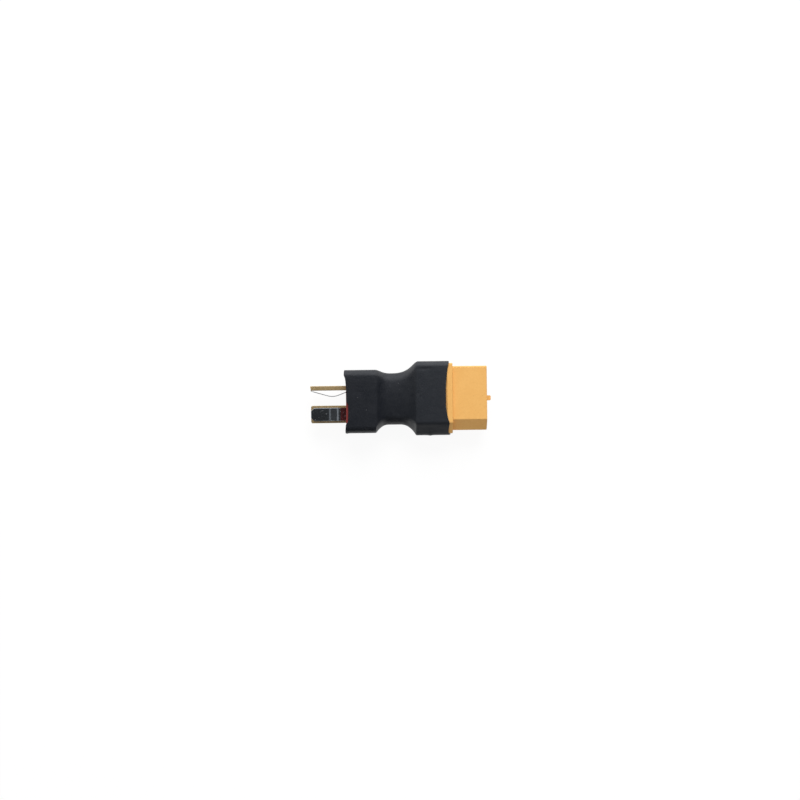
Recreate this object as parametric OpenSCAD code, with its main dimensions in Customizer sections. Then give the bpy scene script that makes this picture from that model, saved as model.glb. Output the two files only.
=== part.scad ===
// Battery connector adapter: a two-blade plug and a two-socket plug, soldered back to back
// under one shrunk sleeve. Millimetres. +X points to the sockets, +Z up from the broad side
// that it lies on, and the origin is under the middle of the whole adapter.

/* [Socket housing] */
// Width of the collar, along Y
collar_w = 16; // [15.8:0.1:16.4]
// Thickness of the collar, along Z
collar_h = 8.1; // [8:0.05:8.4]
// Length of the collar
collar_l = 1.35; // [1:0.05:1.6]
// Width of the nose in front of the collar
nose_w = 14.6; // [14.2:0.1:15]
// Thickness of the nose
nose_h = 6.7; // [6.4:0.05:7]
// Length of the nose
nose_l = 7.8; // [7.4:0.1:8.6]
// How far the rear body that the sleeve grips is set in from the collar, along Y
rear_step_y = 0.1; // [0.1:0.05:0.3]
// How far the rear body is set in from the collar, along Z
rear_step_z = 0.2; // [0.1:0.05:0.3]
// Length of the rear body
rear_l = 6.85; // [6.5:0.05:7.5]
// Width of the chamfers that key the negative side, along Y
key_y = 2.5; // [2.2:0.1:2.7]
// Depth of the key chamfers, along Z
key_z = 2.2; // [1.9:0.1:2.4]
// Length of the nub between the sockets
nub_l = 1; // [0.8:0.1:1.4]
// Width of the nub
nub_w = 1.15; // [1:0.05:1.5]
// Height of the nub
nub_h = 3; // [2.4:0.1:3.6]

/* [Socket contacts] */
// Distance between the two socket axes
contact_pitch = 7.2; // [7.1:0.05:7.4]
// Bore of a socket
socket_bore_d = 3.5; // [3.3:0.05:3.6]
// Depth of a socket's bore
socket_bore_l = 8.2; // [7.8:0.1:8.8]
// Outer diameter of a socket's barrel
barrel_d = 4.3; // [4.2:0.05:4.4]
// Diameter of the shoulder that stops a contact in its housing
shoulder_d = 5.2; // [5:0.05:5.4]
// Length of the shoulder
shoulder_l = 1.2; // [0.9:0.1:1.4]
// How far a contact's rim lies inside the nose
mouth_recess = 0.6; // [0.4:0.05:0.9]
// Outer diameter of a solder cup
cup_d = 3.6; // [3.5:0.05:3.6]
// Bore of a solder cup
cup_bore_d = 2.9; // [2.8:0.05:3]
// How far a solder cup stands out behind the housing
cup_reach = 4.5; // [4.2:0.1:4.7]

/* [Blade housing] */
// Width of the blade housing, along Y
blade_body_w = 13.4; // [13.2:0.1:13.8]
// Thickness of the blade housing, along Z
blade_body_h = 7.4; // [7.2:0.05:7.6]
// Length of the blade housing
blade_body_l = 6.65; // [6.3:0.05:7.2]
// Radius of its long edges
blade_body_r = 1; // [0.8:0.05:1.2]
// How far the blade housing sits off the socket housing's axis
blade_body_shift = 0.5; // [0.3:0.05:0.6]
// Distance between the two housings
housing_gap = 9.35; // [9.1:0.05:9.8]

/* [Blades] */
// Width of a blade
blade_w = 4; // [3.6:0.1:4.1]
// Thickness of a blade
blade_t = 1; // [0.9:0.05:1.05]
// How far a blade stands out of its housing
blade_reach = 8.25; // [7.8:0.05:8.6]
// Distance between the two blades' middles
blade_pitch = 6; // [5.9:0.05:6.2]
// How far the pair of blades sits off the middle of its housing
blade_pair_shift = 0.13; // [0:0.01:0.2]
// Bevel at a blade's tip corners
blade_bevel = 0.25; // [0.15:0.05:0.4]
// Width of the solder tab behind a blade
tab_w = 2.4; // [2:0.1:2.4]
// How deep a tab reaches into its solder cup
tab_in_cup = 3.2; // [2.8:0.1:3.6]
// Diameter of the hole that locks a blade in the nylon
lock_d = 1.6; // [1.2:0.1:1.8]

/* [Leaf springs] */
// Width of a leaf spring
leaf_w = 3; // [2.6:0.1:3.2]
// Thickness of a leaf spring
leaf_t = 0.15; // [0.1:0.01:0.18]
// Height of the corner that the crown is rounded from, over the blade
crown_rise = 1.64; // [1.4:0.02:1.7]
// Distance from the blade's tip to the crown
crown_at = 5.4; // [5.1:0.1:5.6]
// Bending radius of the crown
crown_r = 3.8; // [3:0.1:4.2]
// Length of the tail that is tucked into the housing
leaf_tuck = 2.2; // [1.9:0.1:2.6]

/* [Shrunk sleeve] */
// Wall of the sleeve
sleeve_wall = 0.48; // [0.42:0.02:0.56]
// Slack of the neck beside the solder cups
neck_slack = 0.03; // [0.03:0.01:0.2]
// Slack of the neck over and under the solder cups
neck_rise = 0.15; // [0.1:0.05:0.35]
// How far the sleeve stands off the plain side of the socket housing
sleeve_bulge = 0.1; // [0:0.02:0.14]
// How far the sleeve's corners reach over the collar
collar_lap = 0.48; // [0.3:0.02:0.6]
// How far the sleeve's near corners reach past the blade housing
blade_lap = 0.4; // [0.3:0.02:0.5]
// How much shorter the blade end is cut on the far side
blade_askew = 0.18; // [0:0.02:0.24]
// How far the socket end draws back along the middle of a broad side
socket_draw = 0.82; // [0.6:0.02:1]
// How far the blade end draws back along the middle of a broad side
blade_draw = 0.46; // [0.3:0.02:0.6]
// Extra draw beside the flat blade, on the upper side only
notch_draw = 0.45; // [0.2:0.05:0.5]

/* [Clearances] */
// Gap between parts that are pressed, shrunk or moulded together
fit_gap = 0.02; // [0.01:0.005:0.03]
// Gap between a barrel and the nose round it
mouth_gap = 0.05; // [0.03:0.01:0.08]

/* [Hidden] */

// Colours
NYLON_YELLOW = [0.93, 0.71, 0.42];
NYLON_RED = [0.62, 0.13, 0.12];
GOLD = [0.83, 0.68, 0.38];
SPRING_STEEL = [0.30, 0.30, 0.32];
SOLDER = [0.72, 0.73, 0.74];
SLEEVE_BLACK = [0.16, 0.17, 0.18];

// Stations along X, from the blades' tips to the nub's end
overall_l = blade_reach + blade_body_l + housing_gap + rear_l + collar_l + nose_l + nub_l;
blade_tip_x = -overall_l / 2;
blade_face_x = blade_tip_x + blade_reach;
blade_back_x = blade_face_x + blade_body_l;
socket_back_x = blade_back_x + housing_gap;
collar_back_x = socket_back_x + rear_l;
nose_back_x = collar_back_x + collar_l;
nose_face_x = nose_back_x + nose_l;
cup_end_x = socket_back_x - cup_reach;

// The rear body inside the sleeve, and the neck that is shrunk round the two solder cups
rear_w = collar_w - 2 * rear_step_y;
rear_h = collar_h - 2 * rear_step_z;
neck_w = contact_pitch + cup_d + 2 * neck_slack;
neck_h = cup_d + 2 * neck_rise;

// The axis of the socket housing, which rests on the sleeve's broad side
axis_z = rear_h / 2 + fit_gap + sleeve_wall;
blade_axis_y = -blade_body_shift;
upright_y = blade_axis_y + blade_pair_shift + blade_pitch / 2;
flat_y = blade_axis_y + blade_pair_shift - blade_pitch / 2;
contact_y = contact_pitch / 2;

// Edges of the mouldings
nylon_ease = 0.12;
edge_r = 0.3;
rear_edge_r = 0.7;
corner_flat = 0.65;

// Contacts
contact_front_x = nose_face_x - mouth_recess;
mouth_bevel = 0.25;
drill_point = 0.8;
shoulder_back = 0.3;
shoulder_x = socket_back_x + shoulder_back;
barb_rise = 0.2;
barb_l = 0.6;
barb_depth = 6;
barb_x = socket_back_x + barb_depth;
cup_overrun = 0.2;
cup_bore_l = cup_reach + cup_overrun;
scoop_l = 2.6;
scoop_z = 0.7;

// Blades, their tabs and the pockets for the leaf springs' tails
tab_end_x = cup_end_x + tab_in_cup;
crank_start = 1;
crank_l = 3;
crank_r = 1.2;
tip_bevel_t = 0.12;
lock_depth = 2.2;
lock_x = blade_back_x - lock_depth;
hook_drop = 0.45;
hook_rise = 0.14;
hook_r = 0.12;
tail_r = 1.5;
leaf_corner = 0.5;
root_overrun = 0.55;
pocket_side = 0.15;
pocket_rise = 0.6;

// Solder
meniscus = 0.35;
solder_gap = fit_gap / 2;

// The sleeve's shoulders on the far, -Y side and on the near, +Y side: how long they are, how steep,
// how far past the housing's end they start and how softly
blade_shoulder_l = [2.8, 3];
blade_shoulder_power = [2.2, 2.2];
blade_shoulder_lead = [0.1, 0.5];
blade_shoulder_soft = [0.12, 0.5];
socket_shoulder_l = [3.9, 5.9];
socket_shoulder_power = [2.6, 2.9];
socket_shoulder_lead = [0.15, 0.1];
socket_shoulder_soft = [0.12, 0.12];
inner_soft = [0.001, 0.001];

// The sleeve's two ends
lip_ramp = 0.8;
socket_end_power = 2;
blade_end_power = 3;
side_draw = 0.15;
far_side_reach = 0.12;
notch_y = -3.05;
notch_half = 2.3;
notch_soft = 0.9;
neck_r = 1.6;
neck_flat = 1;

// How finely outlines and the sleeve are divided
arc_steps = 3;
fine_steps = 8;
top_steps = 12;
under_steps = 8;
side_steps = 4;
key_steps = 2;
blade_end_rings = [0, 0.5, 1];
blade_shoulder_rings = 9;
socket_shoulder_rings = 11;
ring_crowding = 1.3;
shoulder_margin = 0.35;
blade_zone_margin = 2;
socket_end_rings = [0, 0.35, 0.55, 0.7, 0.85, 1];
$fn = 48;

// How far a cutting shape reaches past what it cuts
past = 1;

// Plain helpers
function clamp01(t) = min(1, max(0, t));
function smooth01(t) = let (u = clamp01(t)) u * u * (3 - 2 * u);
function mix(a, b, t) = a + (b - a) * t;
function between(pair, t) = mix(pair[0], pair[1], t);
function unit(v) = v / norm(v);
function turned_left(v) = [-v[1], v[0]];
function soft_min(a, b, k) = let (h = max(k - abs(a - b), 0) / k) min(a, b) - h * h * k / 4;

// The arc that rounds corner p of an outline, entered from a and left towards b
function corner_arc(a, p, b, r, steps) =
    let (u = unit(p - a), v = unit(b - p),
         turn = atan2(u[0] * v[1] - u[1] * v[0], u * v),
         side = sign(turn),
         start = p - u * r * tan(abs(turn) / 2),
         middle = start + side * r * turned_left(u))
    [for (i = [0:steps])
        let (t = turn * i / steps, d = start - middle)
        middle + [d[0] * cos(t) - d[1] * sin(t), d[0] * sin(t) + d[1] * cos(t)]];

// A closed outline with every corner rounded, and its straight stretches divided
function rounded_loop(pts, r, steps, divisions) =
    let (n = len(pts),
         arcs = [for (i = [0:n - 1])
             corner_arc(pts[(i + n - 1) % n], pts[i], pts[(i + 1) % n], r, steps)])
    [for (i = [0:n - 1])
        let (last = arcs[i][steps], next = arcs[(i + 1) % n][0], m = divisions[i])
        each concat(arcs[i], [for (k = [1:1:m - 1]) mix(last, next, k / m)])];

// An open path with its inner corners rounded, each by its own radius
function rounded_path(pts, radii, steps) =
    [pts[0],
     for (i = [1:len(pts) - 2]) each corner_arc(pts[i - 1], pts[i], pts[i + 1], radii[i - 1], steps),
     pts[len(pts) - 1]];

// A strip of thickness t along a path
function path_side(path, d) =
    [for (i = [0:len(path) - 1])
        let (a = path[max(i - 1, 0)], p = path[i], b = path[min(i + 1, len(path) - 1)],
             u = i == 0 ? unit(b - p) : unit(p - a),
             v = i == len(path) - 1 ? u : unit(b - p))
        p + d * (turned_left(u) + turned_left(v)) / (1 + u * v)];
function strip(path, t) =
    let (left = path_side(path, t / 2), right = path_side(path, -t / 2), n = len(path))
    concat(right, [for (i = [1:n]) left[n - i]]);

// A closed outline moved outwards by d
function grown(pts, d) =
    let (n = len(pts))
    [for (i = [0:n - 1])
        let (u = -turned_left(unit(pts[i] - pts[(i + n - 1) % n])),
             v = -turned_left(unit(pts[(i + 1) % n] - pts[i])))
        pts[i] + d * (u + v) / (1 + u * v)];

// Eight corners of a housing's section, with flats of c on the +Y side and of ky by kz on the other
function section_corners(w, h, c, ky, kz, shift = 0) =
    [for (p = [[w / 2, h / 2 - c], [w / 2 - c, h / 2], [ky - w / 2, h / 2], [-w / 2, h / 2 - kz],
               [-w / 2, kz - h / 2], [ky - w / 2, -h / 2], [w / 2 - c, -h / 2], [w / 2, c - h / 2]])
        p + [shift, 0]];

rear_corners = section_corners(rear_w, rear_h, corner_flat * rear_edge_r, key_y, key_z);
bulged_corners = section_corners(rear_w + sleeve_bulge, rear_h,
    corner_flat * rear_edge_r, key_y, key_z, sleeve_bulge / 2);
collar_corners = section_corners(collar_w, collar_h, corner_flat * edge_r, key_y, key_z);
nose_corners = section_corners(nose_w, nose_h, corner_flat * edge_r, key_y, key_z);
blade_body_flat = corner_flat * blade_body_r;
blade_body_corners = section_corners(blade_body_w, blade_body_h,
    blade_body_flat, blade_body_flat, blade_body_flat, blade_axis_y);
neck_corners = section_corners(neck_w, neck_h, neck_flat, neck_flat, neck_flat);

loop_divisions = [1, top_steps, key_steps, side_steps, key_steps, under_steps, 1, side_steps];
function skin(corners, r, d) = rounded_loop(grown(corners, d), r + d, arc_steps, loop_divisions);
function outline(corners, r) = rounded_loop(corners, r, arc_steps, [1, 1, 1, 1, 1, 1, 1, 1]);

module at_axis() translate([0, 0, axis_z]) children();
module along_x(x0, x1) translate([x0, 0, 0]) rotate([90, 0, 90]) linear_extrude(x1 - x0) children();
module along_y(w, y = 0) translate([0, y, 0]) rotate([90, 0, 0]) linear_extrude(w, center = true) children();
module along_z(h) linear_extrude(h, center = true) children();
module turned_about_x(x, y) translate([x, y, 0]) rotate([0, 90, 0]) rotate_extrude() children();

// A length of section with its two ends eased all round by e0 and e1
module eased_block(pts, w, h, shift, x0, x1, e0, e1) {
    over = (x1 - x0 - e0 - e1) / 3;
    function side(half) =
        [[x0, e0 - half], [x0 + e0 + over, -half - over], [x1 - e1 - over, -half - over], [x1, e1 - half],
         [x1, half - e1], [x1 - e1 - over, half + over], [x0 + e0 + over, half + over], [x0, half - e0]];
    intersection() {
        along_x(x0 - past, x1 + past) polygon(pts);
        translate([0, shift, 0]) along_z(2 * h) polygon(side(w / 2));
        along_y(2 * w) polygon(side(h / 2));
    }
}

// Outline of a contact's bore in the housing: radius against distance from the housing's back
module contact_bore_profile() {
    r = barrel_d / 2 + mouth_gap;
    shoulder_end = shoulder_back + shoulder_l + fit_gap;
    barb_start = barb_x - socket_back_x - mouth_gap;
    barb_end = barb_start + barb_l + 2 * mouth_gap;
    front = nose_face_x - socket_back_x + past;
    polygon([
        [0, -past], [shoulder_d / 2 + fit_gap, -past], [shoulder_d / 2 + fit_gap, shoulder_end],
        [r, shoulder_end], [r, barb_start], [r + barb_rise, barb_start],
        [r + barb_rise, barb_end], [r, barb_end], [r, front], [0, front]
    ]);
}

module nub() {
    root = nose_face_x - past;
    tip = nose_face_x + nub_l;
    corners = [[root, -nub_w / 2], [tip, -nub_w / 2], [tip, nub_w / 2], [root, nub_w / 2]];
    along_z(nub_h) polygon(rounded_loop(corners, edge_r, fine_steps, [1, 1, 1, 1]));
}

module socket_housing() color(NYLON_YELLOW) at_axis() difference() {
    lap = 0.5;
    union() {
        eased_block(outline(rear_corners, rear_edge_r), rear_w, rear_h, 0,
            socket_back_x, collar_back_x + lap, nylon_ease, nylon_ease);
        eased_block(outline(collar_corners, edge_r), collar_w, collar_h, 0,
            collar_back_x, nose_back_x, nylon_ease, nylon_ease);
        eased_block(outline(nose_corners, edge_r), nose_w, nose_h, 0,
            nose_back_x - lap, nose_face_x, nylon_ease, nylon_ease);
        nub();
    }
    for (y = [contact_y, -contact_y])
        turned_about_x(socket_back_x, y) contact_bore_profile();
}

// Outline of a turned contact: radius against distance from its solder cup's end
module contact_profile() {
    front = contact_front_x - cup_end_x;
    back = shoulder_x - cup_end_x;
    barb = barb_x - cup_end_x;
    barrel_r = barrel_d / 2;
    bore_r = socket_bore_d / 2;
    bottom = front - socket_bore_l;
    polygon([
        [cup_bore_d / 2, 0], [cup_d / 2, 0], [cup_d / 2, back], [shoulder_d / 2, back],
        [shoulder_d / 2, back + shoulder_l], [barrel_r, back + shoulder_l],
        [barrel_r, barb], [barrel_r + barb_rise, barb], [barrel_r, barb + barb_l],
        [barrel_r, front], [bore_r + mouth_bevel, front], [bore_r, front - mouth_bevel],
        [bore_r, bottom], [0, bottom - drill_point], [0, cup_bore_l], [cup_bore_d / 2, cup_bore_l]
    ]);
}

module socket_contact(y) color(GOLD) at_axis() difference() {
    turned_about_x(cup_end_x, y) contact_profile();
    translate([cup_end_x - past, y - cup_d, scoop_z]) cube([scoop_l + past, 2 * cup_d, cup_d]);
}

module socket_contact_positive() socket_contact(contact_y);
module socket_contact_negative() socket_contact(-contact_y);

// Space that a blade takes up in its housing, lying flat and pointing to -X at the origin
module blade_slot() {
    w = blade_w + 2 * fit_gap;
    t = blade_t + 2 * fit_gap;
    difference() {
        translate([blade_face_x - past, -w / 2, -t / 2]) cube([blade_body_l + 2 * past, w, t]);
        translate([lock_x, 0, -t]) cylinder(d = lock_d - 2 * fit_gap, h = 2 * t);
    }
    pocket_w = leaf_w + 2 * pocket_side;
    pocket_l = root_overrun + leaf_tuck + pocket_side;
    translate([blade_face_x - past, -pocket_w / 2, 0])
        cube([pocket_l + past, pocket_w, blade_t / 2 + pocket_rise]);
}

// A blade's place: the flat one as it is drawn, the upright one on edge with its spring inwards
module flat_place() translate([0, flat_y, 0]) children();
module upright_place() translate([0, upright_y, 0]) rotate([90, 0, 0]) children();

module blade_housing() color(NYLON_RED) at_axis() difference() {
    eased_block(outline(blade_body_corners, blade_body_r), blade_body_w, blade_body_h, blade_axis_y,
        blade_face_x, blade_back_x, nylon_ease, nylon_ease);
    flat_place() blade_slot();
    upright_place() blade_slot();
}

// Outline of a blade seen on its broad side, with its tab moved sideways by drift
module blade_plan(drift) {
    half = blade_w / 2;
    tab = tab_w / 2;
    step_x = blade_back_x - 2 * fit_gap;
    difference() {
        union() {
            polygon([
                [blade_tip_x, blade_bevel - half], [blade_tip_x + blade_bevel, -half], [step_x, -half],
                [step_x, half], [blade_tip_x + blade_bevel, half], [blade_tip_x, half - blade_bevel]
            ]);
            translate([step_x - past, drift - tab]) square([tab_end_x - step_x + past, tab_w]);
        }
        translate([lock_x, 0]) circle(d = lock_d);
    }
}

blade_drift = -contact_y - flat_y;
upright_crank = contact_y - upright_y;
crank_x = blade_back_x + crank_start;

function straight_run() = [[blade_tip_x, 0], [tab_end_x, 0]];
function cranked_run(rise) =
    rounded_path([[blade_tip_x, 0], [crank_x, 0], [crank_x + crank_l, rise], [tab_end_x, rise]],
        [crank_r, crank_r], fine_steps);

// What is cut off a blade's tip: a rebate for the leaf spring's hook on one face, a bevel on the other
module tip_cuts(leaf_side) {
    bevel = tip_bevel_t * sqrt(2);
    rebate_l = leaf_t + fit_gap;
    rebate_t = hook_drop + fit_gap;
    translate([blade_tip_x, -leaf_side * blade_t / 2, 0]) rotate([0, 0, 45])
        cube([bevel, bevel, 2 * blade_w], center = true);
    translate([blade_tip_x + (rebate_l - past) / 2, leaf_side * (blade_t - rebate_t + past) / 2, 0])
        cube([rebate_l + past, rebate_t + past, 2 * blade_w], center = true);
}

module flat_blade() color(GOLD) at_axis() flat_place() difference() {
    intersection() {
        along_z(blade_t) blade_plan(blade_drift);
        along_y(2 * blade_w) polygon(strip(straight_run(), blade_t));
    }
    rotate([90, 0, 0]) tip_cuts(1);
}

module upright_blade() color(GOLD) at_axis() translate([0, upright_y, 0]) difference() {
    intersection() {
        along_z(2 * blade_w) polygon(strip(cranked_run(upright_crank), blade_t));
        along_y(4 * blade_w) blade_plan(0);
    }
    tip_cuts(-1);
}

// Middle line of a leaf spring: distance along the blade from its tip, and height over its face
leaf_seat = leaf_t / 2 + fit_gap;
function leaf_line() =
    rounded_path([
        [leaf_t / 2, -hook_drop], [leaf_t / 2, hook_rise], [crown_at, crown_rise],
        [blade_reach + root_overrun, leaf_seat], [blade_reach + root_overrun + leaf_tuck, leaf_seat]
    ], [hook_r, crown_r, tail_r], fine_steps);

// A leaf spring lying on a flat blade that points to -X at the origin
module leaf_spring() color(SPRING_STEEL) {
    front = blade_tip_x;
    half = leaf_w / 2;
    back = blade_face_x + root_overrun + leaf_tuck + past;
    intersection() {
        translate([blade_tip_x, 0, blade_t / 2]) along_y(2 * leaf_w) polygon(strip(leaf_line(), leaf_t));
        along_z(4 * blade_w) polygon([
            [front, leaf_corner - half], [front + leaf_corner, -half], [back, -half],
            [back, half], [front + leaf_corner, half], [front, half - leaf_corner]
        ]);
    }
}

module flat_leaf_spring() at_axis() flat_place() leaf_spring();
module upright_leaf_spring() at_axis() upright_place() leaf_spring();

// Solder that fills a cup and rises round its tab, with the tab's place left free
module solder_fill(y) color(SOLDER) at_axis() difference() {
    r = cup_bore_d / 2 - solder_gap;
    neck = tab_w / 2 + meniscus / 2;
    turned_about_x(cup_end_x, y) polygon([
        [0, -meniscus], [neck, -meniscus], [r, 0], [r, cup_bore_l - solder_gap], [0, cup_bore_l - solder_gap]
    ]);
    children();
}

module tab_space(y, width, thickness) {
    w = width + 2 * solder_gap;
    t = thickness + 2 * solder_gap;
    translate([cup_end_x - past, y - w / 2, -t / 2]) cube([tab_in_cup + past + solder_gap, w, t]);
}

module solder_joint_positive() solder_fill(contact_y) tab_space(contact_y, blade_t, tab_w);
module solder_joint_negative() solder_fill(-contact_y) tab_space(-contact_y, tab_w, blade_t);

// How far each corner of the section leans towards the near side of the neck, 0 to 1
function nearness(y) = clamp01(0.5 + y / neck_w);

// Share of a housing's section that the sleeve still follows at x
function blade_share(x, y, soft, lead) =
    let (near = nearness(y),
         t = max(0, 1 - (x - blade_back_x - between(lead, near)) / between(blade_shoulder_l, near)))
    soft_min(pow(t, between(blade_shoulder_power, near)), 1, between(soft, near));
function socket_share(x, y, soft, lead) =
    let (near = nearness(y),
         t = max(0, 1 + (x - socket_back_x + between(lead, near)) / between(socket_shoulder_l, near)))
    soft_min(pow(t, between(socket_shoulder_power, near)), 1, between(soft, near));
function lip_share(x) = smooth01((x - collar_back_x + lip_ramp) / (lip_ramp - 3 * fit_gap));

// Where the sleeve's two ends lie for a point of its section. They reach out towards the half widths
// near and far, and the side walls bow between the broad sides.
function outward(p, near, far, power) = pow(clamp01(abs(p[0]) / (p[0] < 0 ? far : near)), power);
function side_bow(p) = 1 - pow(clamp01(abs(p[1]) / (rear_h / 2 - key_z / 2)), 2);
function notch(p) =
    p[1] > 0 ? notch_draw * smooth01((notch_half + notch_soft / 2 - abs(p[0] - notch_y)) / notch_soft) : 0;
function socket_edge(p) =
    collar_back_x + collar_lap
    - socket_draw * (1 - outward(p, rear_w / 2, rear_w / 2 - key_y, socket_end_power))
    + (p[0] < 0 ? far_side_reach : -side_draw) * side_bow(p);
function blade_edge(p) =
    let (corner = p[0] < 0 ? blade_draw - blade_askew : blade_draw,
         half = blade_body_w / 2)
    blade_face_x - blade_lap + blade_draw
    - corner * outward(p, half + blade_axis_y, half - blade_axis_y, blade_end_power)
    + side_draw * side_bow(p) + notch(p);

// Rings along the sleeve: the ends are spread over an end zone, the middle lies at plain stations
blade_zone_x = blade_back_x - blade_zone_margin;
socket_zone_x = collar_back_x - 2 * socket_draw;
shoulder_start_x = blade_back_x - shoulder_margin;
shoulder_stop_x = socket_back_x + shoulder_margin;
waist_x = blade_back_x + blade_shoulder_l[1];
function crowded(i, n) = pow(i / n, ring_crowding);
middle_stations = [
    shoulder_start_x,
    for (i = [0:blade_shoulder_rings])
        mix(blade_back_x + fit_gap, waist_x, crowded(i, blade_shoulder_rings)),
    for (i = [1:socket_shoulder_rings])
        mix(socket_back_x - fit_gap, waist_x, crowded(socket_shoulder_rings - i, socket_shoulder_rings)),
    shoulder_stop_x
];

// One skin of the sleeve as a list of rings, for the sections of its five stretches
function skin_rings(blade, neck, rear, lip, blade_soft, blade_lead, socket_soft, socket_lead) =
    let (place = function (x, j)
            let (b = blade_share(x, neck[j][0], blade_soft, blade_lead),
                 s = socket_share(x, neck[j][0], socket_soft, socket_lead),
                 p = neck[j] + b * (blade[j] - neck[j]) + s * (rear[j] - neck[j])
                     + lip_share(x) * (lip[j] - rear[j]))
            [x, p[0], p[1]],
         n = len(neck))
    concat(
        [for (t = blade_end_rings) [for (j = [0:n - 1])
            place(mix(blade_edge(blade[j]), blade_zone_x, t), j)]],
        [for (x = middle_stations) [for (j = [0:n - 1]) place(x, j)]],
        [for (t = socket_end_rings) [for (j = [0:n - 1])
            place(mix(socket_zone_x, socket_edge(rear[j]), t), j)]]
    );

module shrink_sleeve() {
    d = fit_gap;
    wall = fit_gap + sleeve_wall;
    inner_lead = [fit_gap, fit_gap];
    inner = skin_rings(skin(blade_body_corners, blade_body_r, d), skin(neck_corners, neck_r, 0),
        skin(rear_corners, rear_edge_r, d), skin(collar_corners, edge_r, d),
        inner_soft, inner_lead, inner_soft, inner_lead);
    rear_outside = skin(bulged_corners, rear_edge_r, wall);
    outer = skin_rings(skin(blade_body_corners, blade_body_r, wall), skin(neck_corners, neck_r, sleeve_wall),
        rear_outside, rear_outside,
        blade_shoulder_soft, blade_shoulder_lead, socket_shoulder_soft, socket_shoulder_lead);
    rings = len(outer);
    n = len(outer[0]);
    function at(layer, i, j) = (layer * rings + i) * n + j % n;
    walls = [for (layer = [0, 1], i = [0:rings - 2], j = [0:n - 1])
        let (a = at(layer, i, j), b = at(layer, i, j + 1),
             c = at(layer, i + 1, j + 1), e = at(layer, i + 1, j))
        each layer == 0 ? [[a, c, b], [a, e, c]] : [[a, b, c], [a, c, e]]];
    ends = [for (i = [0, rings - 1], j = [0:n - 1])
        let (a = at(0, i, j), b = at(0, i, j + 1), c = at(1, i, j + 1), e = at(1, i, j))
        each i == 0 ? [[a, b, c], [a, c, e]] : [[a, c, b], [a, e, c]]];
    points = [for (layer = [outer, inner], ring = layer) each ring];
    color(SLEEVE_BLACK) at_axis() polyhedron(points = points, faces = concat(walls, ends));
}

socket_housing();
socket_contact_positive();
socket_contact_negative();
blade_housing();
upright_blade();
flat_blade();
upright_leaf_spring();
flat_leaf_spring();
solder_joint_positive();
solder_joint_negative();
shrink_sleeve();
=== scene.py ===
"""Looks of a battery connector adapter: a two-blade plug and a two-socket plug under one shrunk sleeve.

Sizes are written in millimetres and turned into metres where a mesh or a light is made. The frame is
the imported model's: +X points to the sockets, +Y to the positive side, +Z up from the broad side that
the adapter lies on.
"""

import logging
import math
from dataclasses import dataclass, field
from enum import Enum

import bpy
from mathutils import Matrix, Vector


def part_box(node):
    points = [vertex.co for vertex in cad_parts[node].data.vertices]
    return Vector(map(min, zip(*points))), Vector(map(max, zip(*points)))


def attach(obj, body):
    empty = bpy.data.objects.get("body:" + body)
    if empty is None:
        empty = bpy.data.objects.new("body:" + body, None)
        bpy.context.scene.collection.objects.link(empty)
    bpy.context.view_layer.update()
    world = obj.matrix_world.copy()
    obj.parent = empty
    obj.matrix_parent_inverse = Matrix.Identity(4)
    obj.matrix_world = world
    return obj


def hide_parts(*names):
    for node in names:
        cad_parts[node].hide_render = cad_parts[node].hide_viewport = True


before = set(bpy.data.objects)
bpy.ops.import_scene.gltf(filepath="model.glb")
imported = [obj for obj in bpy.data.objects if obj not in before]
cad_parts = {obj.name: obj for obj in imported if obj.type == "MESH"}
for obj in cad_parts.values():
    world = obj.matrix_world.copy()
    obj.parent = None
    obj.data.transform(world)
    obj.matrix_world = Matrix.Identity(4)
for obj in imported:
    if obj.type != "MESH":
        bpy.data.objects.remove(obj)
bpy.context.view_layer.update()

MM = 0.001
BODY = "root"

Point2 = tuple[float, float]
Point3 = tuple[float, float, float]
Colour = tuple[float, float, float]

log = logging.getLogger("adapter")


class Slot(Enum):
    """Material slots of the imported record."""

    YELLOW_NYLON = "yellow_nylon"
    RED_NYLON = "red_nylon"
    CONTACT = "gold_plated_contact"
    BLADE = "gold_plated_blade"
    SPRING = "spring_steel"
    SOLDER = "solder"
    SLEEVE = "black_shrink_tube"


class Grain(Enum):
    """Which way a metal's working marks run."""

    TURNED = (60.0, 1.0, 1.0)
    ROLLED = (1.0, 26.0, 26.0)


# Plain geometry


def clamp01(t: float) -> float:
    """Limit t to 0..1."""
    return min(1.0, max(0.0, t))


def smooth01(t: float) -> float:
    """Ease t from 0 to 1 with a flat start and end."""
    u = clamp01(t)
    return u * u * (3 - 2 * u)


def mix(a: float, b: float, t: float) -> float:
    """Blend a to b by t."""
    return a + (b - a) * t


def mix2(a: Point2, b: Point2, t: float) -> Point2:
    """Blend point a to point b by t."""
    return (mix(a[0], b[0], t), mix(a[1], b[1], t))


def soft_min(a: float, b: float, k: float) -> float:
    """Smaller of a and b, rounded over a span of k where they meet."""
    h = max(k - abs(a - b), 0.0) / k
    return min(a, b) - h * h * k / 4


def unit(a: Point2, b: Point2) -> Point2:
    """Direction from a to b."""
    d = math.hypot(b[0] - a[0], b[1] - a[1])
    return ((b[0] - a[0]) / d, (b[1] - a[1]) / d)


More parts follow.
